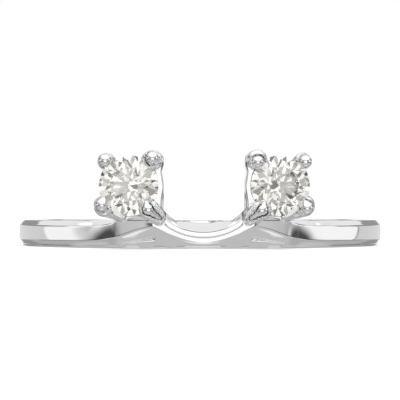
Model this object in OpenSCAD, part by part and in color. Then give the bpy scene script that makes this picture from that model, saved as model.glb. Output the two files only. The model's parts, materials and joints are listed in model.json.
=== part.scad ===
// Wrap ring: a plain shank whose head side dips in a wave round another ring's centre stone
// and carries a round stone in a four-prong head on each side of the dip.
// The finger hole runs along Z. The ring lies on its lower side face at z = 0, and the
// stones are on the -Y side. Every length is in millimetres.

/* [Finger hole and shank] */
// Diameter of the finger hole
bore_d = 17.3; // [16.9:0.05:17.7]
// Thickness of the shank, from the finger hole to its outer face
shank_t = 1.5; // [1.4:0.02:1.6]
// Width of the shank along the finger
shank_w = 1.44; // [1.38:0.02:1.5]
// Radius of the shank's long outer corners
shank_corner = 0.22; // [0.12:0.02:0.3]
// Height of the low dome across the shank's outer face
shank_dome = 0.06; // [0.02:0.01:0.1]

/* [Wave under the stones] */
// Rise of the two flat shoulders above the shank's outer face
shoulder_rise = 0.48; // [0.4:0.02:0.56]
// Depth of the hollow slope below the ridge of the wave
slope_hollow = 0.08; // [0.02:0.01:0.12]
// Height of the seats under the heads, above the shank's upper side
seat_rise = 0.3; // [0.24:0.02:0.36]
// Depth of the small wedge-shaped recess under each crest
recess_depth = 0.35; // [0.2:0.05:0.5]

/* [Notch for the other ring's head] */
// Half of the clear width between the two arms, at their back
notch_half_w = 2.12; // [2.06:0.02:2.2]
// Height of the notch's lowest point, at the outer face
notch_low = 0.82; // [0.74:0.02:0.9]

/* [Stones and heads] */
// Girdle diameter of each stone
stone_d = 3.14; // [3.04:0.02:3.2]
// Distance of each stone's centre from the middle of the ring
stone_x = 3.92; // [3.88:0.02:3.96]
// Distance of the girdles in front of the finger hole's axis
stone_y = 12.3; // [12.2:0.02:12.4]
// Height of the stones' centres
stone_z = 3.3; // [3.24:0.02:3.36]
// Outward lean of each head
head_lean = 12; // [9:0.5:15]
// Radius of the ball on each prong
prong_ball_r = 0.335; // [0.3:0.005:0.36]
// Clearance between a stone and its setting
stone_gap = 0.03; // [0.02:0.005:0.05]

/* [Hidden] */

bore_r = bore_d / 2;
outer_r = bore_r + shank_t;
stone_r = stone_d / 2;
blank_r = bore_r - 0.4 * shank_t; // the loft reaches this far in before the finger hole is bored
seat_back = outer_r + 0.03 * shank_t; // the seats leave the shank's own thickness free
arc_steps = 4;
slope_steps = 4;
land_steps = 6;

// The wave round the ring. One row for each section from the middle of the notch outwards:
// angle from the middle, height of the ridge as a share of shank_w, rise of the ridge and
// rise of the upper face as shares of shoulder_rise, and rise of the seat as a share of
// seat_rise.
wave = [
    [0, 0.20, 0.45, 0.35, 0],
    [4, 0.26, 0.50, 0.45, 0],
    [7, 0.37, 0.62, 0.60, 0],
    [10, 0.51, 0.78, 0.80, 0.4],
    [13, 0.69, 0.92, 0.95, 1],
    [16.4, 0.80, 1.00, 1.00, 1],
    [19, 0.77, 1.00, 1.00, 1],
    [22, 0.66, 0.97, 0.98, 1],
    [25, 0.54, 0.90, 0.88, 1],
    [28, 0.46, 0.76, 0.50, 0.4],
    [31, 0.40, 0.58, 0.14, 0],
    [34, 0.35, 0.40, 0.02, 0],
    [38, 0.30, 0.22, 0, 0],
    [45, 0.25, 0.06, 0, 0],
    [54, 0.23, 0, 0, 0],
    [180, 0.23, 0, 0, 0]
];
wave_end = 54;
wave_step = 1.5;
shank_step = 6;

// The notch. One row for each station from the finger hole outwards: distance from the
// finger hole's axis as a share of outer_r, half width as a share of notch_half_w, height
// of the lowest point as a share of notch_low, radius of the bowl and radius of the corner
// between bowl and wall, both as shares of notch_half_w.
notch = [
    [0.80, 0.98, 1.75, 1.14, 0.90],
    [0.90, 0.98, 1.48, 1.08, 0.92],
    [0.98, 1.00, 1.25, 1.04, 0.95],
    [1.045, 1.00, 1.00, 1.42, 0.42],
    [1.30, 0.97, 0.55, 1.50, 0.25]
];
notch_top = 9;
bowl_steps = 8;
corner_steps = 5;

// The prongs of the right head. One row for each prong: angle of its tip round the stone,
// tip distance from the stone's axis as a share of stone_r, radius at the girdle, then the
// angle and distance of its foot, and the foot's depth below the girdle as a share of stone_r.
prongs = [
    [46.5, 1.08, 0.41, 45, 0.54, 1.40],
    [133, 1.20, 0.50, 131, 0.98, 1.31],
    [229, 1.09, 0.50, 241.5, 1.30, 1.60],
    [321, 1.06, 0.48, 306, 1.41, 1.76]
];
prong_tip_rise = 0.2 * stone_r;
prong_foot_r = 0.3;

// Proportions of a round brilliant, as shares of its diameter
table_share = 0.56;
crown_share = 0.15;
girdle_share = 0.03;
pavilion_share = 0.43;
star_share = 0.78; // where star and kite facets meet, between axis and girdle
lower_share = 0.24; // where the long pavilion facets meet, between axis and girdle
stone_turn = 22.5 / 2;

crown_h = crown_share * stone_d;
girdle_h = girdle_share * stone_d;
pavilion_h = pavilion_share * stone_d;
table_r = table_share * stone_r;

function mix(a, b, t) = a + (b - a) * t;

// Smooth curve through one column of a table whose first column rises
function table_slope(t, c, i) =
    i == 0 || i == len(t) - 1 ? 0 : (t[i + 1][c] - t[i - 1][c]) / (t[i + 1][0] - t[i - 1][0]);
function table_row(t, x, i = 0) = i < len(t) - 2 && x > t[i + 1][0] ? table_row(t, x, i + 1) : i;
function table_curve(t, c, x) =
    let (
        i = table_row(t, x),
        w = t[i + 1][0] - t[i][0],
        s = (x - t[i][0]) / w,
        a = t[i][c],
        b = t[i + 1][c],
        flat = a == b,
        ta = flat ? 0 : table_slope(t, c, i) * w,
        tb = flat ? 0 : table_slope(t, c, i + 1) * w
    )
    a * (1 + 2 * s) * pow(1 - s, 2) + ta * s * pow(1 - s, 2)
    + b * s * s * (3 - 2 * s) - tb * s * s * (1 - s);

// Outline of the band at one angle, as points of distance from the axis and height
function band_outline(angle) =
    let (
        off = min(abs(angle), 360 - abs(angle)),
        ridge_z = shank_w * table_curve(wave, 1, off),
        ridge_r = outer_r + shoulder_rise * table_curve(wave, 2, off),
        raised = table_curve(wave, 3, off),
        upper_r = outer_r + shoulder_rise * raised,
        low_corner = min(shank_corner, 0.6 * ridge_z),
        top_corner = mix(shank_corner, 0.4 * shank_corner, raised),
        top_z = shank_w + seat_rise * table_curve(wave, 4, off),
        land_top = top_z - top_corner
    )
    concat(
        [[blank_r, 0]],
        [for (i = [0:arc_steps]) let (a = -90 + 90 * i / arc_steps)
            [outer_r - low_corner + low_corner * cos(a), low_corner + low_corner * sin(a)]],
        [for (i = [1:slope_steps - 1]) let (s = i / slope_steps)
            [mix(outer_r, ridge_r, s) - slope_hollow * 4 * s * (1 - s) * raised,
             mix(low_corner, ridge_z, s)]],
        [for (i = [0:land_steps - 1]) let (s = i / land_steps)
            [mix(ridge_r, upper_r, s * (2 - s)) + shank_dome * 4 * s * (1 - s) * (1 - raised),
             mix(ridge_z, land_top, s)]],
        [for (i = [0:arc_steps]) let (a = 90 * i / arc_steps)
            [upper_r - top_corner + top_corner * cos(a), land_top + top_corner * sin(a)]],
        [[min(seat_back, upper_r - 1.1 * top_corner), top_z], [0.995 * outer_r - top_corner, shank_w],
            [blank_r, shank_w]]
    );

wave_angles = [for (a = [-wave_end:wave_step:wave_end]) a];
shank_angles = [for (a = [wave_end + shank_step:shank_step:360 - wave_end - shank_step]) a];
band_angles = concat(wave_angles, shank_angles);

// Triangles between two neighbouring sections of a loft
function strip_faces(n, from, to) = [
    for (j = [0:n - 1]) let (k = (j + 1) % n) each [
        [from * n + j, to * n + j, to * n + k],
        [from * n + j, to * n + k, from * n + k]
    ]
];

// Closed loft of the whole band, still without its finger hole
module band_blank() {
    outlines = [for (a = band_angles) band_outline(a)];
    count = len(outlines);
    n = len(outlines[0]);
    points = [for (i = [0:count - 1]) for (p = outlines[i])
        [p[0] * sin(band_angles[i]), -p[0] * cos(band_angles[i]), p[1]]];
    faces = [for (i = [0:count - 1]) each strip_faces(n, (i + 1) % count, i)];
    polyhedron(points, faces, convexity = 6);
}

// One half of the notch's outline, from its lowest point up the wall
function notch_half(row) =
    let (
        a = row[1] * notch_half_w,
        low = row[2] * notch_low,
        bowl = row[3] * notch_half_w,
        corner = row[4] * notch_half_w,
        cz = low + bowl - sqrt(pow(bowl - corner, 2) - pow(a - corner, 2)),
        turn = asin((a - corner) / (bowl - corner))
    )
    concat(
        [for (i = [0:bowl_steps]) let (t = turn * i / bowl_steps)
            [bowl * sin(t), low + bowl * (1 - cos(t))]],
        [for (i = [1:corner_steps]) let (t = mix(turn, 90, i / corner_steps))
            [a - corner + corner * sin(t), cz - corner * cos(t)]],
        [[a, notch_top]]
    );
function notch_outline(row) =
    let (h = notch_half(row), n = len(h))
    concat([for (i = [n - 1:-1:1]) [-h[i][0], h[i][1]]], h);

// Space of the notch, which flares towards the outside
module notch_space() {
    outlines = [for (row = notch) notch_outline(row)];
    count = len(outlines);
    n = len(outlines[0]);
    points = [for (i = [0:count - 1]) for (p = outlines[i])
        [p[0], -notch[i][0] * outer_r, p[1]]];
    sides = [for (i = [0:count - 2]) each strip_faces(n, i, i + 1)];
    back = [for (j = [0:n - 1]) j];
    front = [for (j = [n - 1:-1:0]) (count - 1) * n + j];
    polyhedron(points, concat(sides, [back, front]), convexity = 4);
}

// Places children in the frame of one head, side 1 on the right and -1 on the left:
// origin at the girdle's centre, +Z outwards along the stone's axis
module head_frame(side) {
    translate([side * stone_x, -stone_y, stone_z])
        rotate([0, 0, side * head_lean])
            rotate([90, 0, 0])
                children();
}

function polar(angle, dist, height) = [dist * cos(angle), dist * sin(angle), height];
function on_side(side, p) = [side * p[0], p[1], p[2]];

// Half outline of a prong: tapered shank, neck and ball, for turning about its own axis
function prong_outline(length, girdle_r) =
    let (b = prong_ball_r)
    concat(
        [[0, 0], [prong_foot_r, 0], [girdle_r, length - 1.6 * b], [1.06 * b, length - 0.5 * b]],
        [for (i = [0:arc_steps + 2]) let (a = 90 * i / (arc_steps + 2))
            [b * cos(a), length + b * sin(a)]]
    );

// One prong of a head, leaning from its foot to its tip
module prong(side, row) {
    tip = on_side(side, polar(row[0], row[1] * stone_r, prong_tip_rise));
    foot = on_side(side, polar(row[3], row[4] * stone_r, -row[5] * stone_r));
    v = tip - foot;
    translate(foot)
        rotate([0, acos(v[2] / norm(v)), atan2(v[1], v[0])])
            rotate_extrude($fn = 32)
                polygon(prong_outline(norm(v), row[2]));
}

// Ring of round wire about the head's axis
module wire_ring(ring_r, wire_r, height) {
    translate([0, 0, height])
        rotate_extrude($fn = 64)
            translate([ring_r, 0])
                circle(r = wire_r, $fn = 12);
}

gallery_r = 0.8 * stone_r;
gallery_wire = 0.24;
gallery_depth = -0.75 * stone_r;
base_r = 0.52 * stone_r;
base_wire = 0.27;
base_depth = -1.4 * stone_r;

arm_r = 0.6;
arm_x = notch_half_w + 0.93 * arm_r;
arm_wall = 0.45;
arm_high = stone_z + 0.79 * stone_r;
arm_low = 1.4 * shank_w;
arm_back = outer_r;
arm_front = stone_y - 0.06 * stone_r;
root_back = 0.945 * outer_r;
root_reach = 1.5 * notch_half_w;

// Outline of an arm seen from the stones: round top, neck and narrow wall
function on_side_flat(side, points) = [for (p = points) [side * p[0], p[1]]];
function arm_outline(side) = on_side_flat(side, concat(
    [for (i = [0:4 * arc_steps]) let (a = -45 + 250 * i / (4 * arc_steps))
        [arm_x + arm_r * cos(a), arm_high + arm_r * sin(a)]],
    [
        [notch_half_w + 0.16 * arm_wall, stone_z + 0.5 * stone_r],
        [notch_half_w - 0.16 * arm_wall, stone_z],
        [notch_half_w - 0.1 * arm_wall, arm_low],
        [notch_half_w + 1.6 * arm_wall, arm_low],
        [notch_half_w + arm_wall, stone_z - 0.3 * stone_r],
        [notch_half_w + arm_wall, stone_z + 0.4 * stone_r]
    ]
));

// Upright wall beside the notch that carries the two inner prongs
module arm(side) {
    difference() {
        translate([0, -arm_back, 0])
            rotate([90, 0, 0])
                linear_extrude(height = arm_front - arm_back)
                    polygon(arm_outline(side));
        translate([-2 * notch_half_w, 0, 0])
            rotate([90, 0, 90])
                linear_extrude(height = 4 * notch_half_w)
                    polygon([
                        [-0.98 * arm_back, stone_z - 0.4 * stone_r],
                        [-1.1 * arm_back, stone_z + 1.5 * stone_r],
                        [-0.9 * arm_back, stone_z + 1.5 * stone_r]
                    ]);
    }
}

// Sloped root that sweeps from the band up into the arm
module arm_root(side) {
    start = side > 0 ? 0.5 * notch_half_w : -0.5 * notch_half_w - root_reach + 0.5 * notch_half_w;
    translate([start, 0, 0])
        rotate([90, 0, 90])
            linear_extrude(height = root_reach - 0.5 * notch_half_w)
                polygon([
                    [-root_back, 0.6 * shank_w],
                    [-root_back, shank_w],
                    [-arm_back, 1.45 * shank_w],
                    [-1.01 * arm_back, stone_z - 0.1 * stone_r],
                    [-1.15 * arm_back, stone_z - 0.1 * stone_r],
                    [-1.10 * arm_back, 1.5 * shank_w],
                    [-1.02 * arm_back, 0.9 * shank_w]
                ]);
}

// Web from the shoulder to the base ring, below the stone
module head_web(side) {
    back = base_depth - base_wire;
    front = base_depth + base_wire;
    band_top = shank_w + seat_rise - stone_z;
    width = 1.5 * stone_r;
    translate([-side * 0.05 * stone_r - width / 2, 0, 0])
        rotate([90, 0, 90])
            linear_extrude(height = width)
                polygon([
                    [band_top - seat_rise, back + 0.2 * base_wire],
                    [band_top, back - 0.4 * base_wire],
                    [-base_r, back],
                    [-base_r, front],
                    [band_top + seat_rise, front],
                    [band_top - 0.5 * seat_rise, front - 1.9 * base_wire]
                ]);
}

// Space for one stone with its clearance
module stone_space() {
    r = stone_r + stone_gap;
    low = -girdle_h / 2 - stone_gap;
    high = girdle_h / 2 + stone_gap;
    rotate_extrude($fn = 64)
        polygon([
            [0, low - pavilion_h],
            [r, low],
            [r, high],
            [table_r + stone_gap, high + crown_h],
            [0, high + crown_h]
        ]);
}

// Wedge-shaped recess in the slope under the crest
recess_angle = 20;
module crest_recess(side) {
    floor_r = outer_r - recess_depth;
    rotate([0, 0, side * recess_angle])
        translate([0, -floor_r, 0])
            rotate([90, 0, 0])
                linear_extrude(height = 3 * recess_depth)
                    polygon([
                        [-side * 0.75 * shank_w, 0.24 * shank_w],
                        [side * 0.8 * shank_w, 0.2 * shank_w],
                        [-side * 0.7 * shank_w, 0.42 * shank_w]
                    ]);
}

module finger_hole() {
    translate([0, 0, -shank_w])
        cylinder(h = stone_z + 4 * shank_w, r = bore_r, $fn = 180);
}

// Shank, wave, arms and both heads: one solid of white gold
module ring_mount() {
    color("silver")
        difference() {
            union() {
                difference() {
                    union() {
                        band_blank();
                        for (side = [-1, 1]) {
                            arm(side);
                            arm_root(side);
                        }
                    }
                    notch_space();
                }
                for (side = [-1, 1])
                    head_frame(side) {
                        for (row = prongs) prong(side, row);
                        head_web(side);
                        wire_ring(gallery_r, gallery_wire, gallery_depth);
                        wire_ring(base_r, base_wire, base_depth);
                    }
            }
            for (side = [-1, 1]) {
                head_frame(side) stone_space();
                crest_recess(side);
            }
            finger_hole();
        }
}

// Round brilliant about +Z, with the middle of its girdle at the origin
module brilliant() {
    high = girdle_h / 2;
    star_r = mix(0, stone_r, star_share);
    kite_run = stone_r - table_r;
    star_z = high + crown_h * (stone_r - star_r * cos(22.5)) / kite_run;
    lower_r = mix(0, stone_r, lower_share);
    lower_z = -high - pavilion_h * (1 - lower_r * cos(22.5) / stone_r);
    table_pts = [for (i = [0:7]) polar(45 * i, table_r, high + crown_h)];
    star_pts = [for (i = [0:7]) polar(45 * i + 22.5, star_r, star_z)];
    top_pts = [for (i = [0:15]) polar(22.5 * i, stone_r, high)];
    low_pts = [for (i = [0:15]) polar(22.5 * i, stone_r, -high)];
    lower_pts = [for (i = [0:7]) polar(45 * i + 22.5, lower_r, lower_z)];
    points = concat(table_pts, star_pts, top_pts, low_pts, lower_pts, [[0, 0, -high - pavilion_h]]);
    star0 = 8;
    top0 = 16;
    low0 = 32;
    lower0 = 48;
    culet = 56;
    faces = concat(
        [[for (i = [7:-1:0]) i]],
        [for (i = [0:7]) let (n = (i + 1) % 8, p = (i + 7) % 8, g = 2 * i, h = (2 * i + 2) % 16) each [
            [i, n, star0 + i],
            [i, star0 + i, top0 + g],
            [i, top0 + g, star0 + p],
            [star0 + i, top0 + g + 1, top0 + g],
            [star0 + i, top0 + h, top0 + g + 1],
            [lower0 + i, low0 + g, low0 + g + 1],
            [lower0 + i, low0 + g + 1, low0 + h],
            [culet, low0 + g, lower0 + i],
            [culet, lower0 + p, low0 + g]
        ]],
        [for (i = [0:15]) let (n = (i + 1) % 16) each [
            [top0 + i, top0 + n, low0 + n],
            [top0 + i, low0 + n, low0 + i]
        ]]
    );
    polyhedron(points, faces, convexity = 2);
}

module round_stone(side) {
    color("white")
        head_frame(side)
            rotate([0, 0, side * stone_turn]) brilliant();
}
module left_stone() { round_stone(-1); }
module right_stone() { round_stone(1); }

ring_mount();
left_stone();
right_stone();
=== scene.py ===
# Looks of the wrap ring: polished white gold with two round brilliants, lying on a pale table.
# Shapes are worked out in millimetres in the CAD frame and stored in metres.
import json
import math

import bmesh
import bpy
import numpy as np
from mathutils import Matrix, Vector

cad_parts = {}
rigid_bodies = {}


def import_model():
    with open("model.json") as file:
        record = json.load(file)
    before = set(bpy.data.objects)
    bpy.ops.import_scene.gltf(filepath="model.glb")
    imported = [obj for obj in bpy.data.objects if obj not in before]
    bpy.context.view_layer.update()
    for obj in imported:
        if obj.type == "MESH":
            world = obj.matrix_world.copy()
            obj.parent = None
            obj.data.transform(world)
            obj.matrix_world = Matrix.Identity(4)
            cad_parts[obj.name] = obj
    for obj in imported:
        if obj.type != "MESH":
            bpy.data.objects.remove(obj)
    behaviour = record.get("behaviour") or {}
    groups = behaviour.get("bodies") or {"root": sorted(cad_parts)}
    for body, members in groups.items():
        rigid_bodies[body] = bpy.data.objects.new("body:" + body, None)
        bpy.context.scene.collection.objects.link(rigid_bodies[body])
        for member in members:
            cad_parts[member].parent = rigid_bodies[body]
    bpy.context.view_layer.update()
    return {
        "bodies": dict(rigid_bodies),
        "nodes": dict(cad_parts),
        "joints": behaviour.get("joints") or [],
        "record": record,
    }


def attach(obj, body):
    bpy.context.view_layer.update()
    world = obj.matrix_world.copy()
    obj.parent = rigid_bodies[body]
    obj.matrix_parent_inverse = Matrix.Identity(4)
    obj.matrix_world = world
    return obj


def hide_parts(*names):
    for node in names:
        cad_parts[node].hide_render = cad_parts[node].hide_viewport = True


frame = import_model()

MM = 0.001

# Main sizes of the ring
BORE_R = 8.65
SHANK_T = 1.5
SHANK_W = 1.44
OUTER_R = BORE_R + SHANK_T
SHANK_CORNER = 0.22
RAISED_CORNER = 0.4 * SHANK_CORNER
SHOULDER_RISE = 0.48
SEAT_RISE = 0.3
SEAT_BACK = OUTER_R + 0.03 * SHANK_T
SEAT_EDGE = 0.03
NOTCH_HALF_W = 2.12
NOTCH_LOW = 0.82
STONE_R = 1.57
STONE_X = 3.92
STONE_Y = 12.3
STONE_Z = 3.3
HEAD_LEAN = math.radians(12)
BALL_R = 0.335
STONE_GAP = 0.03

# Angle from the middle, ridge height, ridge rise, upper rise and seat rise, as shares
WAVE = np.array([
    [0, 0.20, 0.45, 0.40, 0],
    [4, 0.26, 0.50, 0.46, 0],
    [7, 0.37, 0.62, 0.60, 0],
    [10, 0.51, 0.78, 0.77, 0.4],
    [13, 0.70, 0.92, 0.92, 1],
    [14.6, 0.785, 1.00, 1.00, 1],
    [19, 0.67, 1.00, 1.00, 1],
    [22, 0.535, 0.97, 0.99, 1],
    [25, 0.41, 0.90, 0.95, 0.6],
    [26.5, 0.37, 0.74, 0.90, 0.15],
    [28, 0.335, 0.52, 0.74, 0],
    [29.5, 0.31, 0.32, 0.54, 0],
    [31, 0.285, 0.17, 0.36, 0],
    [32.5, 0.27, 0.07, 0.22, 0],
    [34, 0.26, 0.02, 0.12, 0],
    [36, 0.255, 0, 0.04, 0],
    [38.5, 0.245, 0, 0.01, 0],
    [41, 0.24, 0, 0, 0],
    [54, 0.23, 0, 0, 0],
    [180, 0.23, 0, 0, 0],
])

# Distance from the axis, half width, lowest point, bowl radius and corner radius, as shares
NOTCH = np.array([
    [0.80, 0.98, 1.75, 1.60, 0.85],
    [0.90, 0.98, 1.48, 1.60, 0.85],
    [0.98, 1.00, 1.12, 1.62, 0.85],
    [1.03, 1.00, 1.00, 1.65, 0.22],
    [1.30, 0.97, 0.55, 1.65, 0.20],
])

# Prongs of a head, upper outer one first, then round past the notch: angle and distance of the tip,
# then angle, distance, depth and radius of the body, then angle, distance and depth of the foot,
# then length of the claw and of the tail
PRONGS = (
    (48, 1.11, 47, 1.10, -0.05, 0.44, 45, 0.54, 1.40, 0.26, 0),
    (133, 1.20, 133, 1.17, -0.02, 0.50, 131, 0.98, 1.31, 0.26, 0),
    (231, 1.06, 227, 1.22, 0.10, 0.44, 238, 1.34, 1.60, 0.40, 0.72),
    (322.5, 1.04, 321, 1.06, 0.06, 0.57, 300, 1.18, 1.55, 0.36, 0),
)
# How far each tip was pushed outwards and upwards when the stones were set
TIP_SHIFT = {
    -1: ((0, 0), (0.04, 0.03), (0.07, 0.07), (0.04, 0)),
    1: ((0.09, -0.05), (0, -0.16), (0.02, 0.04), (0.05, -0.16)),
}


def table_curve(table, column, x):
    """Smooth curve through one column of a table whose first column rises."""
    xs = table[:, 0]
    ys = table[:, column]
    x = np.clip(np.asarray(x, float), xs[0], xs[-1])
    i = np.clip(np.searchsorted(xs, x, side="left") - 1, 0, len(xs) - 2)
    slope = np.zeros(len(xs))
    slope[1:-1] = (ys[2:] - ys[:-2]) / (xs[2:] - xs[:-2])
    w = xs[i + 1] - xs[i]
    s = (x - xs[i]) / w
    flat = ys[i] == ys[i + 1]
    ta = np.where(flat, 0, slope[i] * w)
    tb = np.where(flat, 0, slope[i + 1] * w)
    return (
        ys[i] * (1 + 2 * s) * (1 - s) ** 2
        + ta * s * (1 - s) ** 2
        + ys[i + 1] * s * s * (3 - 2 * s)
        - tb * s * s * (1 - s)
    )


def smoothstep(a, b, x):
    """Smooth step from 0 at a to 1 at b, also where a is the larger."""
    t = np.clip((x - a) / (b - a), 0, 1)
    return t * t * (3 - 2 * t)


def notch_shape(y):
    """Notch at one depth: half width, lowest point, bowl, corner, where they meet, corner's centre."""
    half_w, low, bowl, corner = [table_curve(NOTCH, c, -y / OUTER_R) for c in range(1, 5)]
    half_w = half_w * NOTCH_HALF_W
    low = low * NOTCH_LOW
    bowl = bowl * NOTCH_HALF_W
    corner = np.minimum(corner * NOTCH_HALF_W, 0.99 * half_w)
    cx = half_w - corner
    turn = np.arcsin(np.clip(cx / (bowl - corner), -0.999, 0.999))
    cz = low + bowl - np.sqrt((bowl - corner) ** 2 - cx ** 2)
    return half_w, low, bowl, corner, turn, cx, cz


def notch_depth(x, y, z):
    """Distance inside the notch, negative in the metal around it."""
    half_w, low, bowl, corner, turn, cx, cz = notch_shape(y)
    ax = np.abs(x)
    to_corner = np.hypot(ax - cx, cz - z)
    swing = np.arctan2(ax - cx, cz - z)
    to_bowl = np.hypot(ax, low + bowl - z)
    below = np.where(swing > turn, corner - to_corner, bowl - to_bowl)
    return np.where(z > cz, half_w - ax, below)


# Height that stands for no notch
BESIDE_NOTCH = 99.0


def notch_floor(x, y):
    """Height of the notch's surface over a point, or a large number beside the notch."""
    half_w, low, bowl, corner, turn, cx, cz = notch_shape(y)
    ax = np.abs(x)
    on_bowl = low + bowl - np.sqrt(np.maximum(bowl ** 2 - ax ** 2, 0))
    on_corner = cz - np.sqrt(np.maximum(corner ** 2 - (ax - cx) ** 2, 0))
    z = np.where(ax < bowl * np.sin(turn), on_bowl, on_corner)
    return np.where(ax < half_w - 1e-6, z, BESIDE_NOTCH)


# How far the land bows outwards between its two edges
LAND_BOW = 0.4


def land_run(s):
    """Share of the way from the ridge's radius to the upper one."""
    return s * (1 + LAND_BOW * (1 - s))


def top_height(r, top_z):
    """Height of the band's upper side: the seats of the heads stand outside the mating face alone."""
    return SHANK_W + (top_z - SHANK_W) * smoothstep(SEAT_BACK - SEAT_EDGE, SEAT_BACK + SEAT_EDGE, r)


def new_object(name, verts, faces, material):
    """Smooth mesh object from points in millimetres."""
    mesh = bpy.data.meshes.new(name)
    mesh.from_pydata((np.asarray(verts) * MM).tolist(), [], [tuple(f) for f in faces])
    mesh.update()
    mesh.validate()
    mesh.polygons.foreach_set("use_smooth", [True] * len(mesh.polygons))
    mesh.materials.append(material)
    obj = bpy.data.objects.new(name, mesh)
    bpy.context.scene.collection.objects.link(obj)
    return obj


# Materials

def new_material(name):
    mat = bpy.data.materials.new(name)
    mat.use_nodes = True
    nodes = mat.node_tree.nodes
    nodes.clear()
    out = nodes.new("ShaderNodeOutputMaterial")
    return mat, nodes, mat.node_tree.links, out


def noise_node(nodes, links, scale, detail):
    coords = nodes.new("ShaderNodeTexCoord")
    noise = nodes.new("ShaderNodeTexNoise")
    noise.inputs["Scale"].default_value = scale
    noise.inputs["Detail"].default_value = detail
    links.new(coords.outputs["Object"], noise.inputs["Vector"])
    return noise.outputs["Fac"]


def white_gold_material():
    mat, nodes, links, out = new_material("white_gold")
    bsdf = nodes.new("ShaderNodeBsdfPrincipled")
    bsdf.inputs["Metallic"].default_value = 1.0
    bsdf.inputs["Base Color"].default_value = (0.80, 0.80, 0.81, 1)
    # fine polishing marks
    rough = nodes.new("ShaderNodeMapRange")
    rough.inputs["To Min"].default_value = 0.03
    rough.inputs["To Max"].default_value = 0.08
    links.new(noise_node(nodes, links, 900, 4), rough.inputs["Value"])
    links.new(rough.outputs["Result"], bsdf.inputs["Roughness"])
    # slight waves that the polishing wheel leaves
    bump = nodes.new("ShaderNodeBump")
    bump.inputs["Strength"].default_value = 0.06
    bump.inputs["Distance"].default_value = 0.0001
    links.new(noise_node(nodes, links, 420, 1), bump.inputs["Height"])
    links.new(bump.outputs["Normal"], bsdf.inputs["Normal"])
    links.new(bsdf.outputs["BSDF"], out.inputs["Surface"])
    return mat


def diamond_material():
    mat, nodes, links, out = new_material("diamond")
    bsdf = nodes.new("ShaderNodeBsdfPrincipled")
    bsdf.inputs["Base Color"].default_value = (0.985, 0.975, 0.955, 1)
    bsdf.inputs["Roughness"].default_value = 0.0
    bsdf.inputs["IOR"].default_value = 2.417
    bsdf.inputs["Transmission Weight"].default_value = 1.0
    links.new(bsdf.outputs["BSDF"], out.inputs["Surface"])
    return mat


gold = white_gold_material()
diamond = diamond_material()


# Band

# Points along each part of the outline
ARC_STEPS = 10
SLOPE_STEPS = 44
LAND_STEPS = 26
EDGE_STEPS = 6
TOP_STEPS = 30
RIDGE_STEPS = 8
LAND_LINE_STEPS = 241
CORNER_LINE_STEPS = 41

# Rounding of the notch's front edge and of the finger hole's two edges
EDGE_R = 0.05
BORE_EDGE = 0.12

# Shank's outer face: its bulge at the edges and over the whole face, and the form of its upper corner
SHANK_DOME = 0.06
SHANK_FACE_DOME = 0.004
DOME_POWER = 32
CORNER_POWER = 1.6

# Slope under the ridge: corner below it, how far it leans at most, and its hollow
LOW_CORNER = 0.15
LOW_CORNER_SHARE = 0.6
BEVEL = 0.12
SLOPE_LIMIT = 0.78
SLOPE_BLEND = 0.03
SLOPE_LIP = 0.05
LIP_POWER = 6

# Ridge: its rounding, and the fall of the land beside it
RIDGE_R = 0.07
RIDGE_SHARE = 0.4
RIDGE_FALL = 0.013
RIDGE_BAND = 0.12

# Bevel and raised strip along the notch's front edge
CHAMFER = 0.19
STRIP = 0.10
LIP = 0.045
CHAMFER_SLOPE = 0.34

# Wedge-shaped recess under the crest: angles of its point and end, heights of its corners, its walls
RECESS_DEPTH = 0.35
RECESS_POINT = (25.9, 0.24)
RECESS_END = (14.5, 0.37, 0.61)
RECESS_WALL = (-0.01, 0.035)
MM_PER_DEGREE = 0.18

# Angles between the sections, fine round the head side
FINE_REACH = 60
FINE_STEP = 0.3
COARSE_STEP = 1.5


def recess(off, z):
    """Depth of the recess at one place of the slope."""
    along = (RECESS_POINT[0] - off) / (RECESS_POINT[0] - RECESS_END[0])
    if along <= 0:
        return 0.0
    low = RECESS_POINT[1] + (RECESS_END[1] - RECESS_POINT[1]) * along
    high = RECESS_POINT[1] + (RECESS_END[2] - RECESS_POINT[1]) * along
    inside = min(z - low, high - z, (off - RECESS_END[0]) * MM_PER_DEGREE)
    return RECESS_DEPTH * min(along, 1) * float(smoothstep(*RECESS_WALL, inside))


def quarter_turn(r, z, radius, start, steps):
    """Points of a quarter circle from one angle on, both ends among them."""
    turn = [math.radians(start + 90 * i / steps) for i in range(steps + 1)]
    return [(r + radius * math.cos(a), z + radius * math.sin(a)) for a in turn]


def rounding(before, corner, after, steps):
    """Points that round a corner off, without the first and with the last."""
    shares = [i / steps for i in range(1, steps + 1)]
    return [
        tuple((1 - s) ** 2 * before[k] + 2 * s * (1 - s) * corner[k] + s * s * after[k] for k in (0, 1))
        for s in shares
    ]


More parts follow.
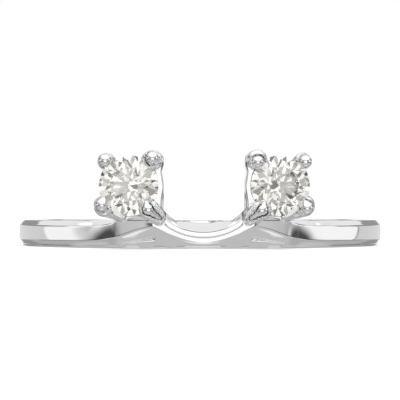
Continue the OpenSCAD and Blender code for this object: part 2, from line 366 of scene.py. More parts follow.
def land_line(t, ridge_r, ridge_z, raised, top_z):
    """Fine line from the ridge over the land and the upper corner to the notch, if it meets it."""
    upper_r = OUTER_R + SHOULDER_RISE * raised
    corner = SHANK_CORNER + (RAISED_CORNER - SHANK_CORNER) * raised
    land_top = top_z - corner
    s = np.linspace(0, 1, LAND_LINE_STEPS)
    dome = (SHANK_DOME - SHANK_FACE_DOME) * (1 - (2 * s - 1) ** DOME_POWER)
    dome = dome + SHANK_FACE_DOME * 4 * s * (1 - s)
    land_r = ridge_r + (upper_r - ridge_r) * land_run(s) + dome * (1 - raised)
    land_z = ridge_z + (land_top - ridge_z) * s
    arc = np.radians(np.linspace(0, 90, CORNER_LINE_STEPS)[1:])
    arc_r = upper_r - corner + corner * np.maximum(np.cos(arc), 0) ** CORNER_POWER
    arc_z = land_top + corner * np.sin(arc) ** CORNER_POWER
    line_r = np.concatenate([land_r, arc_r])
    line_z = np.concatenate([land_z, arc_z])
    floor = notch_floor(line_r * math.sin(t), -line_r * math.cos(t))
    over = np.nonzero(line_z > floor)[0]
    cut = len(over) > 0
    if cut:
        line_r = line_r[: over[0] + 1]
        line_z = line_z[: over[0] + 1]
    length = np.concatenate([[0], np.cumsum(np.hypot(np.diff(line_r), np.diff(line_z)))])
    if cut:
        line_r = line_r - np.interp(
            length[-1] - length, (0, CHAMFER, CHAMFER + STRIP), (CHAMFER_SLOPE * CHAMFER - LIP, -LIP, 0)
        )
    line_r = line_r - RIDGE_FALL * np.clip(1 - length / RIDGE_BAND, 0, 1) ** 2
    return line_r, line_z, length, cut


def band_section(angle_deg):
    """Closed outline of the band at one angle, as distances from the axis and heights."""
    off = min(abs(angle_deg), 360 - abs(angle_deg))
    t = math.radians(angle_deg)
    ridge_z = SHANK_W * float(table_curve(WAVE, 1, off))
    ridge_r = OUTER_R + SHOULDER_RISE * float(table_curve(WAVE, 2, off))
    raised = float(table_curve(WAVE, 3, off))
    top_z = SHANK_W + SEAT_RISE * float(table_curve(WAVE, 4, off))
    line_r, line_z, length, cut = land_line(t, ridge_r, ridge_z, raised, top_z)

    def on_land(run):
        return (float(np.interp(run, length, line_r)), float(np.interp(run, length, line_z)))

    # lower corner
    low_corner = min(LOW_CORNER, LOW_CORNER_SHARE * ridge_z)
    low_rs = (OUTER_R - BEVEL, ridge_r - SLOPE_LIMIT * (ridge_z - low_corner))
    low_r = 0.5 * (sum(low_rs) + math.hypot(low_rs[0] - low_rs[1], SLOPE_BLEND))
    points = quarter_turn(low_r - low_corner, low_corner, low_corner, -90, ARC_STEPS)
    # slope up to the ridge, then the rounded ridge
    ridge = (ridge_r - RIDGE_FALL, ridge_z)
    ridge_reach = min(RIDGE_R, RIDGE_SHARE * (ridge_z - low_corner))
    slope_part = 1 - ridge_reach / math.hypot(ridge_r - low_r, ridge_z - low_corner)
    for i in range(1, SLOPE_STEPS):
        s = slope_part * i / (SLOPE_STEPS - 1)
        lip = SLOPE_LIP * (ridge_z - low_corner) * (s - s ** LIP_POWER)
        z = low_corner + (ridge_z - low_corner) * s
        points.append((low_r + (ridge[0] - low_r) * s - lip - recess(off, z), z))
    points += rounding(points[-1], ridge, on_land(ridge_reach), RIDGE_STEPS)[:-1]
    # land, closer together at its two ends
    stop = length[-1] - (EDGE_R if cut else 0)
    turn = np.linspace(0, math.pi, LAND_STEPS if cut else LAND_STEPS + EDGE_STEPS)
    points += [on_land(run) for run in ridge_reach + (stop - ridge_reach) * (0.5 - 0.5 * np.cos(turn))]

    def top_at(r):
        return min(float(top_height(r, top_z)), float(notch_floor(r * math.sin(t), -r * math.cos(t))))

    # edge of the notch
    if cut:
        edge = (float(line_r[-1]), float(line_z[-1]))
        after_r = edge[0] - EDGE_R
        points += rounding(points[-1], edge, (after_r, top_at(after_r)), EDGE_STEPS)
    # upper side and the finger hole's two edges
    inner_r = BORE_R + BORE_EDGE
    start_r = points[-1][0]
    for i in range(1, TOP_STEPS + 1):
        r = start_r + (inner_r - start_r) * i / TOP_STEPS
        points.append((r, top_at(r)))
    points += quarter_turn(inner_r, points[-1][1] - BORE_EDGE, BORE_EDGE, 90, EDGE_STEPS)[1:]
    points += quarter_turn(inner_r, BORE_EDGE, BORE_EDGE, 180, EDGE_STEPS)[:-1]
    return points


def make_band():
    angles = list(np.arange(-FINE_REACH, FINE_REACH + FINE_STEP / 2, FINE_STEP))
    angles += list(np.arange(FINE_REACH + COARSE_STEP, 360 - FINE_REACH - COARSE_STEP / 2, COARSE_STEP))
    outlines = [band_section(a) for a in angles]
    n = len(outlines[0])
    verts = np.array([
        (r * math.sin(math.radians(a)), -r * math.cos(math.radians(a)), z)
        for a, outline in zip(angles, outlines) for r, z in outline
    ])
    m = len(angles)
    faces = []
    for i in range(m):
        k = (i + 1) % m
        for j in range(n):
            l = (j + 1) % n
            faces.append((i * n + j, k * n + j, k * n + l, i * n + l))
    band = new_object("wrap_band", verts, faces, gold)
    return band


band = make_band()


# Heads, as smooth solids blended from simple ones

def head_matrix(side):
    """Head frame to world, in millimetres: +Z outwards along the stone's axis."""
    return (
        Matrix.Translation((side * STONE_X, -STONE_Y, STONE_Z))
        @ Matrix.Rotation(side * HEAD_LEAN, 4, "Z")
        @ Matrix.Rotation(math.radians(90), 4, "X")
    )


def polar(side, angle, dist, height):
    a = math.radians(angle)
    return Vector((side * dist * math.cos(a), dist * math.sin(a), height))


def round_cone(p, a, b, r1, r2):
    a = np.array(a)
    ab = np.array(b) - a
    t = np.clip(((p - a) @ ab) / (ab @ ab), 0, 1)
    near = a + t[:, None] * ab
    return np.linalg.norm(p - near, axis=1) - (r1 + (r2 - r1) * t)


def round_hull(p, a, b, r1, r2):
    """Distance to two balls joined by the cone that touches both."""
    ab = b - a
    l2 = ab @ ab
    rr = r1 - r2
    a2 = l2 - rr * rr
    pa = p - a
    y = pa @ ab
    z = y - l2
    x2 = ((pa * l2 - ab * y[:, None]) ** 2).sum(1)
    y2 = y * y * l2
    z2 = z * z * l2
    k = np.sign(rr) * rr * rr * x2
    side = (np.sqrt(x2 * a2 / l2) + y * rr) / l2 - r1
    side = np.where(np.sign(y) * a2 * y2 < k, np.sqrt(x2 + y2) / l2 - r1, side)
    return np.where(np.sign(z) * a2 * z2 > k, np.sqrt(x2 + z2) / l2 - r2, side)


def torus(p, centre, axis, ring_r, wire_r):
    v = p - np.array(centre)
    h = v @ np.array(axis)
    flat = np.sqrt(np.maximum((v * v).sum(1) - h * h, 0))
    return np.hypot(flat - ring_r, h) - wire_r


def blend_min(a, b, k):
    h = np.clip(0.5 + 0.5 * (b - a) / k, 0, 1)
    return b + (a - b) * h - k * h * (1 - h)


def blend_max(a, b, k):
    return -blend_min(-a, -b, k)


def slant(y, z, place, normal):
    """Distance past a slanting plane that runs straight across the head."""
    return (y - place[0]) * normal[0] + (z - place[1]) * normal[1]


# Band as the heads see it: fall below the ridge, margins and roundings
UNDER_RIDGE = 1.6
RIDGE_MARGIN = 0.06
BORE_MARGIN = 0.2
TOP_ROUNDING = 0.08


def band_solid(p):
    """Signed distance, roughly, to the band near its upper side, notch not cut."""
    r = np.hypot(p[:, 0], p[:, 1])
    z = p[:, 2]
    off = np.degrees(np.arctan2(np.abs(p[:, 0]), -p[:, 1]))
    raised = table_curve(WAVE, 3, off)
    upper = OUTER_R + SHOULDER_RISE * raised
    ridge_r = OUTER_R + SHOULDER_RISE * table_curve(WAVE, 2, off)
    ridge_z = SHANK_W * table_curve(WAVE, 1, off)
    top = SHANK_W + SEAT_RISE * table_curve(WAVE, 4, off)
    s = np.clip((z - ridge_z) / (top - ridge_z), 0, 1)
    face = ridge_r + (upper - ridge_r) * land_run(s)
    face = face - UNDER_RIDGE * np.maximum(ridge_z + RIDGE_MARGIN - z, 0)
    solid = blend_max(r - face, z - top_height(r, top), TOP_ROUNDING)
    return blend_max(solid, BORE_R + BORE_MARGIN - r, BLEND_CUT)


# Tips of the prongs: height, groove round them, claw and tail, and the rim round a tail
TIP_HEIGHT = 0.2 * STONE_R
GROOVE = 0.08
GROOVE_FLOOR = TIP_HEIGHT - 0.2
CLAW_R = 0.11
CLAW_RISE = 0.03
CLAW_LEAN = 0.55
TAIL_R = 0.13
TAIL_DROP = 0.12
TAIL_ANGLE = 218
SHELL = 0.2
SHELL_DROP = 0.12

# Radius of a prong's leg at its foot, and of its neck at the tip
LEG_R = 0.27
NECK_R = 0.8 * BALL_R

# Arm beside the notch: round top, wall with its bulge and wider foot, slanting back
ARM_R = 0.6
ARM_X = NOTCH_HALF_W + 0.93 * ARM_R
ARM_LOW = 1.9
ARM_HIGH = STONE_Z + 0.79 * STONE_R
ARM_FRONT = STONE_Y - 0.06 * STONE_R
ARM_BACK = OUTER_R - 0.05
ARM_SLANT = ((-9.95, 2.67), (0.92, 0.385))
WALL_INSET = 0.09
WALL_T = 0.48
WALL_FOOT = 0.35
WALL_FOOT_TOP = 3.0
WALL_BULGE = 0.11
WALL_BULGE_Z = 3.25
WALL_BULGE_SPREAD = 0.55

# Root of the arm: its sides, its height, its slants, and its distance above the ridge
ROOT_SIDES = (1.1, 2.85)
ROOT_LOW = 1.2
ROOT_HIGH = 3.14
ROOT_SLANT = ((-9.6, 1.44), (0.76, 0.65))
ROOT_OVER_RIDGE = 0.08

# Leaning front of root and web: its normal, then for each how far behind it, and from which height
FRONT_NORMAL = (0.82, 0.57)
ROOT_FRONT = (0.057, 1.42)
WEB_FRONT = (0.025, 1.95)

# Rings round the stone's axis: radius, radius of the wire, depth under the stone
GALLERY_RING = (0.8 * STONE_R, 0.24, 0.75 * STONE_R)
BASE_RING = (0.52 * STONE_R, 0.27, 1.4 * STONE_R)

# Web under the base ring: half width, shift sideways, lowest place
WEB_HALF_W = 0.75 * STONE_R
WEB_SHIFT = 0.05 * STONE_R
WEB_LOW = 1.5

# How far the heads' solids follow the band, and how far they keep inside it and the notch
BAND_REACH = 0.22
BAND_INSET = 0.006
BAND_INSET_BY_NOTCH = 0.045
BY_NOTCH = (-0.3, -0.1)
NOTCH_CLEAR = 0.003
NOTCH_INSET = 0.02
NOTCH_INSET_Z = (1.6, 1.4)

# Room for the stone
GIRDLE_HALF = 0.08
PAVILION_NORMAL = (0.757, 0.653)
CROWN_NORMAL = (0.566, 0.824)

# Widths over which two forms blend
BLEND_ARM = 0.14
BLEND_SLANT = 0.12
BLEND_ROOT = 0.18
BLEND_PRONG = 0.1
BLEND_CUT = 0.05
BLEND_RIM = 0.06
BLEND_BAND = 0.14
BLEND_TRIM = 0.02
BLEND_GROOVE = 0.04


def head_parts(side):
    """Prongs of one head as points in the world, and the head's axis and centre."""
    m = head_matrix(side)
    prongs = []
    for row, shift in zip(PRONGS, TIP_SHIFT[side]):
        tip_a, tip_d, body_a, body_d, body_h, body_r, foot_a, foot_d, depth, claw_long, tail_long = row
        place = polar(side, tip_a, tip_d * STONE_R, TIP_HEIGHT)
        outwards = math.copysign(1, math.cos(math.radians(tip_a)))
        place += Vector((side * shift[0] * outwards, shift[1], 0))
        lean = CLAW_LEAN * (90 if tip_a < 180 else 270) + (1 - CLAW_LEAN) * tip_a
        points = (
            place,
            place - polar(side, lean, claw_long, -CLAW_RISE),
            place + polar(side, TAIL_ANGLE, tail_long, -TAIL_DROP),
            polar(side, body_a, body_d * STONE_R, -body_h * STONE_R),
            polar(side, foot_a, foot_d * STONE_R, -depth * STONE_R),
        )
        prongs.append([np.array(m @ point) for point in points] + [body_r, tail_long > TAIL_R])
    axis = np.array((m.to_3x3() @ Vector((0, 0, 1))))
    centre = np.array(m.translation)
    return prongs, axis, centre


def arm_solid(ax, y, z):
    """Wall beside the notch, with its round top."""
    top = np.hypot(ax - ARM_X, z - ARM_HIGH) - ARM_R
    bulge = WALL_BULGE * np.exp(-((z - WALL_BULGE_Z) / WALL_BULGE_SPREAD) ** 2)
    inner = NOTCH_HALF_W + WALL_INSET - bulge
    outer = NOTCH_HALF_W + WALL_T + WALL_FOOT * smoothstep(WALL_FOOT_TOP, ARM_LOW, z)
    wall = np.maximum(np.maximum(inner - ax, ax - outer), z - ARM_HIGH)
    wall = np.maximum(wall, ARM_LOW - z)
    arm = blend_min(top, wall, BLEND_ARM)
    arm = blend_max(arm, -y - ARM_FRONT, BLEND_SLANT)
    arm = blend_max(arm, slant(y, z, *ARM_SLANT), BLEND_SLANT)
    return blend_max(arm, ARM_BACK + y, BLEND_PRONG)


def root_solid(ax, y, z, off, front):
    """Root that sweeps from the band into the wall."""
    sweep = np.maximum(ROOT_SIDES[0] - ax, ax - ROOT_SIDES[1])
    front_root = front + ROOT_FRONT[0] - (z - ROOT_FRONT[1]) * FRONT_NORMAL[1]
    root = np.maximum(np.maximum(sweep, slant(y, z, *ROOT_SLANT)), np.maximum(front_root, z - ROOT_HIGH))
    above_ridge = SHANK_W * table_curve(WAVE, 1, off) + ROOT_OVER_RIDGE - z
    return np.maximum(root, np.maximum(above_ridge, ROOT_LOW - z))


def web_solid(q, side, z, front):
    """Web under the base ring."""
    ring_r, wire, depth = BASE_RING
    web = np.maximum(np.abs(q[:, 0] + side * WEB_SHIFT) - WEB_HALF_W, q[:, 1] + ring_r)
    web = np.maximum(web, np.abs(q[:, 2] + depth) - wire)
    slanting = front + WEB_FRONT[0] - np.maximum(z - WEB_FRONT[1], 0) * FRONT_NORMAL[1]
    return np.maximum(np.maximum(web, WEB_LOW - z), slanting)


def head_solid(side):
    """Signed distance, roughly, to one head with its arm, as a function of points."""
    prongs, axis, centre = head_parts(side)
    turn = np.array(head_matrix(side).to_3x3())

    def solid(p):
        ax = side * p[:, 0]
        y = p[:, 1]
        z = p[:, 2]
        q = (p - centre) @ turn
        off = np.degrees(np.arctan2(ax, -y))
        land = np.minimum(table_curve(WAVE, 2, off), table_curve(WAVE, 3, off))
        front = (np.hypot(p[:, 0], y) - OUTER_R - SHOULDER_RISE * land) * FRONT_NORMAL[0]
        metal = blend_min(arm_solid(ax, y, z), root_solid(ax, y, z, off, front), BLEND_ROOT)
        # bodies of the prongs
        for tip, claw, tail, body, foot, body_r, has_tail in prongs:
            leg = round_cone(p, foot, body, LEG_R, body_r)
            neck = round_cone(p, body, tip, body_r, NECK_R)
            metal = blend_min(metal, blend_min(leg, neck, BLEND_CUT), BLEND_PRONG)
            if has_tail:
                drop = axis * SHELL_DROP
                shell = round_hull(p, tip - drop, tail - drop, BALL_R + SHELL, TAIL_R + SHELL)
                metal = blend_min(metal, shell, BLEND_RIM)
        for ring_r, wire, depth in (GALLERY_RING, BASE_RING):
            metal = blend_min(metal, torus(p, centre - axis * depth, axis, ring_r, wire), BLEND_PRONG)
        metal = blend_min(metal, web_solid(q, side, z, front), BLEND_SLANT)
        # join to the band, and the notch
        cut = notch_depth(p[:, 0], y, z)
        base = band_solid(p) + BAND_INSET + BAND_INSET_BY_NOTCH * smoothstep(*BY_NOTCH, cut)
        whole = blend_min(metal, base, BLEND_BAND)
        whole = blend_max(whole, metal - BAND_REACH, BLEND_TRIM)
        inset = NOTCH_INSET * smoothstep(*NOTCH_INSET_Z, z)
        whole = blend_max(whole, cut - NOTCH_CLEAR + inset, BLEND_CUT)
        # stone's seat: pavilion, girdle and crown
        h = q[:, 2]
        wide = np.hypot(q[:, 0], q[:, 1]) - (STONE_R + STONE_GAP)
        lower = np.maximum(wide * PAVILION_NORMAL[0] - (h + GIRDLE_HALF) * PAVILION_NORMAL[1], h)
        drum = np.maximum(wide, np.abs(h) - GIRDLE_HALF)
        crown = np.maximum(wide * CROWN_NORMAL[0] + (h - GIRDLE_HALF) * CROWN_NORMAL[1], -h)
        whole = np.maximum(whole, -np.minimum(np.minimum(drum, crown), lower))
        # tips of the prongs, each in its groove
        for tip, claw, tail, body, foot, body_r, has_tail in prongs:
            tipped = round_hull(p, tip, claw, BALL_R, CLAW_R)
            if has_tail:
                tipped = blend_min(tipped, round_hull(p, tip, tail, BALL_R, TAIL_R), BLEND_GROOVE)
            groove = np.maximum(tipped - GROOVE, GROOVE_FLOOR - h)
            whole = blend_max(whole, -groove, BLEND_GROOVE)
            whole = np.minimum(whole, np.maximum(tipped, -crown))
        return whole

    return solid


# Mesh of a head: length of its cells, box that it is worked out in, and points worked out at a time
HEAD_STEP = 0.05
HEAD_BOX = ((0.9, 6.2), (-13.4, -8.9), (0.7, 5.5))
NET_CHUNK = 400000

# Settling of the points: rounds, reach of the slope's probe, least slope, longest move and drift
SETTLE_ROUNDS = 4
PROBE = 0.15
LEAST_SLOPE = 0.05
LONGEST_MOVE = 0.5
LONGEST_DRIFT = 0.9


def halves(axis):
    """Slices that leave out the last and the first layer along one axis."""
    low = [slice(None)] * 3
    high = [slice(None)] * 3
    low[axis] = slice(0, -1)
    high[axis] = slice(1, None)
    return tuple(low), tuple(high)


def surface_nets(solid, lo, hi, step):
    """Quads round the zero level of a solid's signed distance."""
    axes = [np.arange(lo[k], hi[k] + step, step) for k in range(3)]
    grid = np.stack(np.meshgrid(*axes, indexing="ij"), -1)
    shape = grid.shape[:3]
    flat = grid.reshape(-1, 3)
    values = np.concatenate([solid(flat[i:i + NET_CHUNK]) for i in range(0, len(flat), NET_CHUNK)])
    values = values.reshape(shape)
    inside = values < 0
    cells = tuple(s - 1 for s in shape)
    total = np.zeros(cells + (3,))
    count = np.zeros(cells)
    for axis in range(3):
        low, high = halves(axis)
        cross = inside[low] != inside[high]
        with np.errstate(divide="ignore", invalid="ignore"):
            t = np.where(cross, values[low] / (values[low] - values[high]), 0)
        point = grid[low].copy()
        point[..., axis] += t * step
        others = [k for k in range(3) if k != axis]
        for shift in ((0, 0), (0, 1), (1, 0), (1, 1)):
            pick = [slice(None)] * 3
            for k, d in zip(others, shift):
                pick[k] = slice(d, d + cells[k])
            crossed = cross[tuple(pick)]
            total += np.where(crossed[..., None], point[tuple(pick)], 0)
            count += crossed
    used = count > 0
    index = -np.ones(cells, int)
    index[used] = np.arange(used.sum())
    verts = total[used] / count[used][:, None]
    faces = []
    for axis in range(3):
        low, high = halves(axis)
        cross = inside[low] != inside[high]
        o1, o2 = [k for k in range(3) if k != axis]
        inner = [slice(None)] * 3
        inner[o1] = slice(1, -1)
        inner[o2] = slice(1, -1)
        mask = np.zeros_like(cross)
        mask[tuple(inner)] = cross[tuple(inner)]
        ids = np.argwhere(mask)
        corners = []
        for d1, d2 in ((0, 0), (1, 0), (1, 1), (0, 1)):
            c = ids.copy()
            c[:, o1] -= d1
            c[:, o2] -= d2
            corners.append(index[tuple(c.T)])
        quad = np.stack(corners, 1)
        flip = inside[low][tuple(ids.T)]
        if axis == 1:
            flip = ~flip
        quad[flip] = quad[flip][:, ::-1]
        faces.append(quad)
    return verts, np.concatenate(faces)


def settle(solid, verts, step):
    """Moves points onto the zero level along its slope."""
    e = PROBE * step
    start = verts.copy()
    for _ in range(SETTLE_ROUNDS):
        value = solid(verts)
        slope = np.stack([
            (solid(verts + d) - solid(verts - d)) / (2 * e)
            for d in (np.array((e, 0, 0)), np.array((0, e, 0)), np.array((0, 0, e)))
        ], 1)
        size = np.maximum((slope * slope).sum(1), LEAST_SLOPE)
        move = -(value / size)[:, None] * slope
        far = np.linalg.norm(move, axis=1)
        move *= np.minimum(1, LONGEST_MOVE * step / np.maximum(far, 1e-9))[:, None]
        verts = verts + move
        drift = verts - start
        far = np.linalg.norm(drift, axis=1)
        verts = start + drift * np.minimum(1, LONGEST_DRIFT * step / np.maximum(far, 1e-9))[:, None]
    return verts


def make_head(side, name):
    solid = head_solid(side)
    xs = sorted(side * x for x in HEAD_BOX[0])
    lo = (xs[0], HEAD_BOX[1][0], HEAD_BOX[2][0])
    hi = (xs[1], HEAD_BOX[1][1], HEAD_BOX[2][1])
    verts, faces = surface_nets(solid, lo, hi, HEAD_STEP)
    verts = settle(solid, verts, HEAD_STEP)
    return new_object(name, verts, faces, gold)


left_head = make_head(-1, "left_head")
right_head = make_head(1, "right_head")


# Stones, cut from a round blank by their facet planes

# Shares of the stone's diameter
GIRDLE_SHARE = 0.015
CROWN_SHARE = 0.15
PAVILION_SHARE = 0.43

# Shares of the stone's radius: edge of the table, points of the star facets, points of the lower ones
TABLE_SHARE = 0.56
STAR_SHARE = 0.78
LOWER_SHARE = 0.24
BLANK_STEPS = 128


def plane_by(a, b, c):
    """Plane through three points, facing away from the stone's middle."""
    n = (b - a).cross(c - a)
    n.normalize()
    return (a, n) if n.dot(a) > 0 else (a, -n)


def make_brilliant(side, name):
    """Round brilliant of 57 facets and a girdle."""
    r = STONE_R
    high = GIRDLE_SHARE * 2 * r
    crown = CROWN_SHARE * 2 * r
    pavilion = PAVILION_SHARE * 2 * r
    table_r = TABLE_SHARE * r
    star_r = STAR_SHARE * r
    eighth = math.radians(22.5)
    star_z = high + crown * (r - star_r * math.cos(eighth)) / (r - table_r)
    lower_r = LOWER_SHARE * r
    lower_z = -high - pavilion * (1 - lower_r * math.cos(eighth) / r)
    mesh = bmesh.new()
    bmesh.ops.create_cone(
        mesh, cap_ends=True, cap_tris=False, segments=BLANK_STEPS, radius1=r, radius2=r, depth=2 * r
    )

    def point(angle, dist, z):
        return Vector((dist * math.cos(angle), dist * math.sin(angle), z))

    planes = [(Vector((0, 0, high + crown)), Vector((0, 0, 1)))]
    for i in range(8):
        a = 2 * eighth * i
        tangent = Vector((-math.sin(a), math.cos(a), 0))
        rim = point(a, r, high)
        planes.append(plane_by(rim, rim + tangent, point(a, table_r, high + crown)))
        low = point(a, r, -high)
        planes.append(plane_by(low, low + tangent, Vector((0, 0, -high - pavilion))))
        mid = a + eighth
        next_corner = point(a + 2 * eighth, table_r, high + crown)
        planes.append(plane_by(point(a, table_r, high + crown), next_corner, point(mid, star_r, star_z)))
        for turn in (-1, 1):
            planes.append(plane_by(
                point(mid, star_r, star_z), point(mid, r, high), point(mid + turn * eighth, r, high)
            ))
            planes.append(plane_by(
                point(mid, lower_r, lower_z), point(mid, r, -high), point(mid + turn * eighth, r, -high)
            ))
    for co, no in planes:
        cut = bmesh.ops.bisect_plane(
            mesh, geom=mesh.verts[:] + mesh.edges[:] + mesh.faces[:], dist=1e-6,
            plane_co=co, plane_no=no, clear_outer=True,
        )
        edges = [e for e in cut["geom_cut"] if isinstance(e, bmesh.types.BMEdge)]
        rim = [e for e in edges if e.is_valid and e.is_boundary]
        if len(rim) > 2:
            bmesh.ops.edgeloop_fill(mesh, edges=rim)
    bmesh.ops.recalc_face_normals(mesh, faces=mesh.faces[:])
    mesh.transform(Matrix.Rotation(side * eighth / 2, 4, "Z"))
    mesh.transform(head_matrix(side))
    mesh.transform(Matrix.Scale(MM, 4))
    data = bpy.data.meshes.new(name)
    mesh.to_mesh(data)
    mesh.free()
    data.materials.append(diamond)
    obj = bpy.data.objects.new(name, data)
    bpy.context.scene.collection.objects.link(obj)
    return obj


left_brilliant = make_brilliant(-1, "left_brilliant")
right_brilliant = make_brilliant(1, "right_brilliant")

for piece in (band, left_head, right_head):
    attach(piece, "root")
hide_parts("ring_mount")
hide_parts("ring_mount")
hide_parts("ring_mount")
for piece, node in ((left_brilliant, "left_stone"), (right_brilliant, "right_stone")):
    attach(piece, "root")
    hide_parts(node)


# Table, backdrop, light and camera

TABLE_R = 900
TABLE_GLOW = 0.3
BACKDROP_R = 880
BACKDROP_LOW = -1
BACKDROP_HIGH = 1400
CIRCLE_STEPS = 96


class Wiring:
    """Short ways to add linked nodes to one tree."""

    def __init__(self, tree):
        self.nodes = tree.nodes
        self.links = tree.links

    def feed(self, socket, value):
        """Sets a number, or links what gives one."""
        if isinstance(value, (int, float)):
            socket.default_value = value
        else:
            self.links.new(value, socket)

    def split(self, vector):
        node = self.nodes.new("ShaderNodeSeparateXYZ")
        self.links.new(vector, node.inputs["Vector"])
        return node.outputs["X"], node.outputs["Y"], node.outputs["Z"]

    def calc(self, kind, *values):
        node = self.nodes.new("ShaderNodeMath")
        node.operation = kind
        for socket, value in zip(node.inputs, values):
            self.feed(socket, value)
        return node.outputs[0]

    def both(self, a, b):
        return self.calc("MULTIPLY", a, b)

    def step(self, value, low, high):
        """Smooth step from 0 at low to 1 at high, also where low is the larger."""
        node = self.nodes.new("ShaderNodeMapRange")
        node.interpolation_type = "SMOOTHSTEP"
        turned = low > high
        node.inputs["From Min"].default_value = min(low, high)
        node.inputs["From Max"].default_value = max(low, high)
        node.inputs["To Min"].default_value = 1.0 if turned else 0.0
        node.inputs["To Max"].default_value = 0.0 if turned else 1.0
        self.links.new(value, node.inputs["Value"])
        return node.outputs["Result"]

    def window(self, value, limits):
        """1 between the two inner limits, 0 outside the outer ones."""
        return self.both(self.step(value, limits[0], limits[1]), self.step(value, limits[3], limits[2]))

    def mix(self, share, low, high):
        node = self.nodes.new("ShaderNodeMix")
        node.data_type = "FLOAT"
        for name, value in (("Factor", share), ("A", low), ("B", high)):
            self.feed(node.inputs[name], value)
        return node.outputs["Result"]

    def ramp(self, value, rows):
        node = self.nodes.new("ShaderNodeValToRGB")
        stops = node.color_ramp.elements
        while len(stops) < len(rows):
            stops.new(0.5)
        for stop, (place, tone) in zip(stops, rows):
            stop.position = place
            stop.color = (tone, tone, tone, 1)
        self.links.new(value, node.inputs["Fac"])
        return node.outputs["Color"]


def glow_material(name, color, strength):
    """Material that only glows, and its shader."""
    mat, nodes, links, out = new_material(name)
    glow = nodes.new("ShaderNodeEmission")
    glow.inputs["Color"].default_value = color
    glow.inputs["Strength"].default_value = strength
    links.new(glow.outputs["Emission"], out.inputs["Surface"])
    return mat, glow


# Brightness of the light round the stones: all round, below, by the camera, at two cards and high up
STONE_BASE = 1.35
STONE_BELOW = 1.05
STONE_LENS = 0.50
STONE_CARD = 0.10
STONE_HIGH = 0.45

# Where each of them begins or ends, as a share of the light's radius
STONE_BELOW_Z = (-0.25, -0.45)
STONE_LENS_Y = (-0.90, -0.95)
STONE_CARD_X = (0.50, 0.55, 0.72, 0.77)
STONE_CARD_Z = (-0.20, -0.15, 0.15, 0.20)
STONE_HIGH_Z = (0.50, 0.54, 0.66, 0.70)
STONE_LIGHT_R = 600


def make_stone_light():
    """Light dome that only the stones show: grey round the camera and below, light elsewhere."""
    mesh = bmesh.new()
    bmesh.ops.create_uvsphere(mesh, u_segments=48, v_segments=24, radius=STONE_LIGHT_R * MM)
    data = bpy.data.meshes.new("stone_light")
    mesh.to_mesh(data)
    mesh.free()
    mat, glow = glow_material("stone_light", (1.0, 0.985, 0.955, 1), STONE_BASE)
    wiring = Wiring(mat.node_tree)
    coords = wiring.nodes.new("ShaderNodeTexCoord")
    unit = wiring.nodes.new("ShaderNodeVectorMath")
    unit.operation = "NORMALIZE"
    wiring.links.new(coords.outputs["Object"], unit.inputs[0])
    x, y, z = wiring.split(unit.outputs["Vector"])
    tone = wiring.mix(wiring.step(z, *STONE_BELOW_Z), STONE_BASE, STONE_BELOW)
    tone = wiring.mix(wiring.step(y, *STONE_LENS_Y), tone, STONE_LENS)
    across = wiring.calc("ABSOLUTE", x)
    card = wiring.both(wiring.window(across, STONE_CARD_X), wiring.window(z, STONE_CARD_Z))
    tone = wiring.mix(card, tone, STONE_CARD)
    tone = wiring.mix(wiring.window(z, STONE_HIGH_Z), tone, STONE_HIGH)
    wiring.links.new(tone, glow.inputs["Strength"])
    data.materials.append(mat)
    dome = bpy.data.objects.new("stone_light", data)
    bpy.context.scene.collection.objects.link(dome)
    dome.visible_camera = False
    dome.visible_diffuse = False
    dome.visible_glossy = False
    dome.visible_shadow = False


def circle(radius, z):
    """Points round a circle about the finger hole's axis."""
    turn = [2 * math.pi * i / CIRCLE_STEPS for i in range(CIRCLE_STEPS)]
    return [(radius * math.cos(a), radius * math.sin(a), z) for a in turn]


def make_floor():
    """Round pale table top, which the metal doesn't mirror."""
    mat, nodes, links, out = new_material("pale_table")
    bsdf = nodes.new("ShaderNodeBsdfPrincipled")
    bsdf.inputs["Base Color"].default_value = (0.9, 0.9, 0.9, 1)
    bsdf.inputs["Roughness"].default_value = 0.6
    bsdf.inputs["Emission Color"].default_value = (1, 1, 1, 1)
    bsdf.inputs["Emission Strength"].default_value = TABLE_GLOW
    links.new(bsdf.outputs["BSDF"], out.inputs["Surface"])
    table = new_object("pale_table", circle(TABLE_R, 0), [range(CIRCLE_STEPS)], mat)
    table.visible_glossy = False
    table.visible_transmission = False


def make_backdrop():
    """Plain round wall that only the camera sees, so that the studio light passes through it."""
    n = CIRCLE_STEPS
    verts = circle(BACKDROP_R, BACKDROP_LOW) + circle(BACKDROP_R, BACKDROP_HIGH)
    faces = [(i, (i + 1) % n, n + (i + 1) % n, n + i) for i in range(n)]
    mat, _ = glow_material("backdrop", (1, 1, 1, 1), 1.0)
    wall = new_object("backdrop", verts, faces, mat)
    wall.visible_glossy = False
    wall.visible_transmission = False
    wall.visible_diffuse = False
    wall.visible_shadow = False


make_floor()
make_backdrop()

# Brightness of the studio along the horizon: degrees to the right of the camera's side, brightness
HORIZON = (
    (-180, 0.82), (-118, 0.74), (-116, 1.12), (-90, 1.12), (-84, 0.80), (-76, 0.56), (-66, 0.47),
    (-56, 0.62), (-34, 0.70), (-32.5, 0.14), (-28, 0.14), (-26.5, 1.28), (26.5, 1.28), (28, 0.14),
    (32.5, 0.14), (34, 0.70), (56, 0.60), (63, 0.50), (69, 0.72), (75, 1.10), (86, 1.14), (117, 1.12),
    (118, 0.15), (119.5, 0.74), (180, 0.82),
)

# Windows round their ends: an angle counts for more the further it is off the horizon
SWELL = 48.0
SWELL_LIMIT = 0.0011

# Brightness of the rest of the studio
SPOT = 0.08
BEHIND = 0.34
BESIDE = 0.20
UPPER = 0.78
UPPER_BACK = 0.98
LOWER = 0.62
LOWER_BACK = 0.50
NADIR = 1.05
FRAME = 0.10
FRAME_SIDE = 0.40
DOME = 1.3

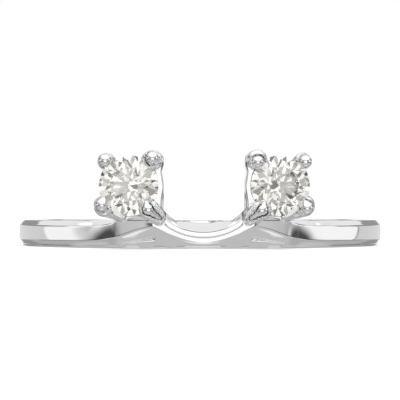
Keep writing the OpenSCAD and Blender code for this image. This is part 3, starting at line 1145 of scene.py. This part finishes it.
# Where each part begins and is full, or also where it ends: X and Y to the right and away from the
# camera, Z up, all for a direction of length 1
SPOT_ANGLES = [math.radians(a) for a in (30, 38, 122, 130)]
SPOT_Z = (-0.36, -0.28, -0.19, -0.03)
BEHIND_Y = (0.55, 0.65)
BESIDE_Y = (0.05, 0.15, 0.55, 0.65)
OFF_LEVEL_Z = (0.08, 0.14, 0.42, 0.46)
UPPER_Z = (0.40, 0.44)
UPPER_BACK_Y = (0.2, 0.45)
LOWER_Z = (-0.40, -0.46)
LOWER_BACK_Y = (0.05, 0.3)
LOWER_BACK_Z = (-0.3, -0.4)
NADIR_X = (0.32, 0.22)
NADIR_Z = (-0.93, -0.975)
FRAME_Y = (0.25, 0.0)
FRAME_SIDE_X = (0.7, 0.85)
FRAME_EDGE = (0.43, 0.46)
DOME_EDGE = (0.55, 0.58)
DOME_TILT = math.radians(19)


def make_world():
    world = bpy.data.worlds.new("studio")
    bpy.context.scene.world = world
    world.use_nodes = True
    world.node_tree.nodes.clear()
    w = Wiring(world.node_tree)
    out = w.nodes.new("ShaderNodeOutputWorld")
    back = w.nodes.new("ShaderNodeBackground")
    coords = w.nodes.new("ShaderNodeTexCoord")
    x, y, z = w.split(coords.outputs["Generated"])
    across = w.calc("ABSOLUTE", x)
    level = w.calc("ABSOLUTE", z)
    angle = w.calc("ARCTAN2", x, w.calc("MULTIPLY", y, -1.0))
    swell = w.calc("MULTIPLY_ADD", w.calc("MINIMUM", w.both(z, z), SWELL_LIMIT), SWELL, 1.0)
    place = w.calc("MULTIPLY_ADD", w.both(angle, swell), 1 / (2 * math.pi), 0.5)
    tone = w.ramp(place, [(0.5 + deg / 360, value) for deg, value in HORIZON])
    # dark cards low on both sides of the camera
    card = w.both(w.window(w.calc("ABSOLUTE", angle), SPOT_ANGLES), w.window(z, SPOT_Z))
    tone = w.mix(card, tone, SPOT)
    # dark bands behind, just above and below the horizon, which outline each rounded edge
    off_level = w.window(level, OFF_LEVEL_Z)
    tone = w.mix(w.both(w.step(y, *BEHIND_Y), off_level), tone, BEHIND)
    tone = w.mix(w.both(w.window(y, BESIDE_Y), off_level), tone, BESIDE)
    # grey above and below the horizon, light straight below
    tone = w.mix(w.step(z, *UPPER_Z), tone, w.mix(w.step(y, *UPPER_BACK_Y), UPPER, UPPER_BACK))
    tone = w.mix(w.step(z, *LOWER_Z), tone, LOWER)
    tone = w.mix(w.both(w.step(y, *LOWER_BACK_Y), w.step(z, *LOWER_BACK_Z)), tone, LOWER_BACK)
    tone = w.mix(w.both(w.step(z, *NADIR_Z), w.step(across, *NADIR_X)), tone, NADIR)
    # large soft box overhead, tilted towards the camera, with its dark frame
    tilted = w.calc("MULTIPLY_ADD", z, math.cos(DOME_TILT), w.calc("MULTIPLY", y, -math.sin(DOME_TILT)))
    frame = w.mix(w.step(across, *FRAME_SIDE_X), FRAME, FRAME_SIDE)
    tone = w.mix(w.both(w.step(tilted, *FRAME_EDGE), w.step(y, *FRAME_Y)), tone, frame)
    tone = w.mix(w.step(tilted, *DOME_EDGE), tone, DOME)
    w.links.new(tone, back.inputs["Color"])
    w.links.new(back.outputs["Background"], out.inputs["Surface"])


make_world()
make_stone_light()

# Camera, as far away as the photograph's perspective says
CAMERA_LENS = 217.5
CAMERA_FAR = 137
CAMERA_Z = 2.56
CAMERA_TURN = math.radians(1.1)


def make_camera():
    data = bpy.data.cameras.new("camera")
    data.lens = CAMERA_LENS
    data.sensor_width = 36
    data.clip_start = 0.01
    data.clip_end = 5
    cam = bpy.data.objects.new("camera", data)
    bpy.context.scene.collection.objects.link(cam)
    aside = CAMERA_FAR * math.sin(CAMERA_TURN)
    away = CAMERA_FAR * math.cos(CAMERA_TURN)
    cam.location = Vector((-aside, -away, CAMERA_Z)) * MM
    look = Vector((0, 0, CAMERA_Z)) * MM - cam.location
    cam.rotation_mode = "QUATERNION"
    cam.rotation_quaternion = look.to_track_quat("-Z", "Y")
    bpy.context.scene.camera = cam


make_camera()
bpy.context.scene.view_settings.view_transform = "Standard"
